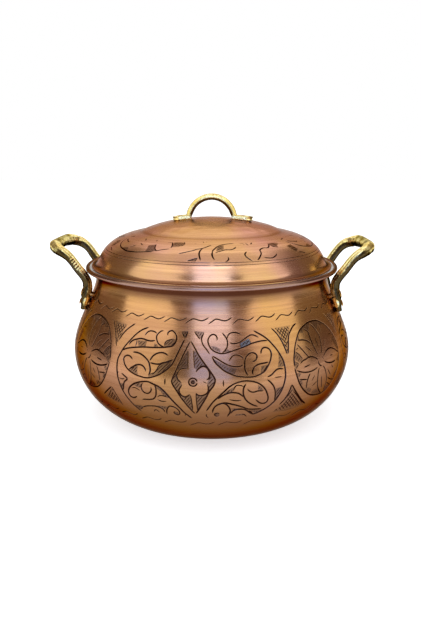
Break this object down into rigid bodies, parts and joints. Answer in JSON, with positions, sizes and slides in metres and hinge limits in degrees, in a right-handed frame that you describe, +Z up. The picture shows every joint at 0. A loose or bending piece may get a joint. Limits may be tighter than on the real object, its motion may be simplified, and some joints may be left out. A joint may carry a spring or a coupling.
{
  "type": "casserole pot",
  "caption": "Round-bellied copper casserole pot with a narrow neck, rolled rim, stepped lid, cast brass loop handles and an arched brass lid handle, engraved all round.",
  "frame": {"origin": "centre of the base, on the surface that the pot stands on", "axes": "+Z up along the pot's axis, X through the two side handles, -Y towards the front"},
  "size_m": [0.3212, 0.28, 0.221],
  "materials": {
    "copper": "copper, brushed along the turning direction, engraved and darkened in the cuts",
    "tin": "wiped tin, satin",
    "brass": "cast brass, worn bright on the edges and dark in the hollows",
    "rivet_copper": "copper, peened"
  },
  "bodies": {
    "pot": {"pot_body": "copper", "pot_tin_lining": "tin", "handle_right": "brass", "handle_left": "brass", "rivet_right_back_lower": "rivet_copper", "rivet_right_back_upper": "rivet_copper", "rivet_right_front_lower": "rivet_copper", "rivet_right_front_upper": "rivet_copper", "rivet_left_back_lower": "rivet_copper", "rivet_left_back_upper": "rivet_copper", "rivet_left_front_lower": "rivet_copper", "rivet_left_front_upper": "rivet_copper"},
    "lid": {"lid_shell": "copper", "lid_tin_lining": "tin", "lid_handle": "brass", "lid_rivet_right": "rivet_copper", "lid_rivet_left": "rivet_copper"}
  },
  "joints": [
    {"name": "lid_lift", "type": "slide", "parent": "pot", "child": "lid", "axis": [0, 0, 1], "range_m": [0, 0.12]}
  ]
}
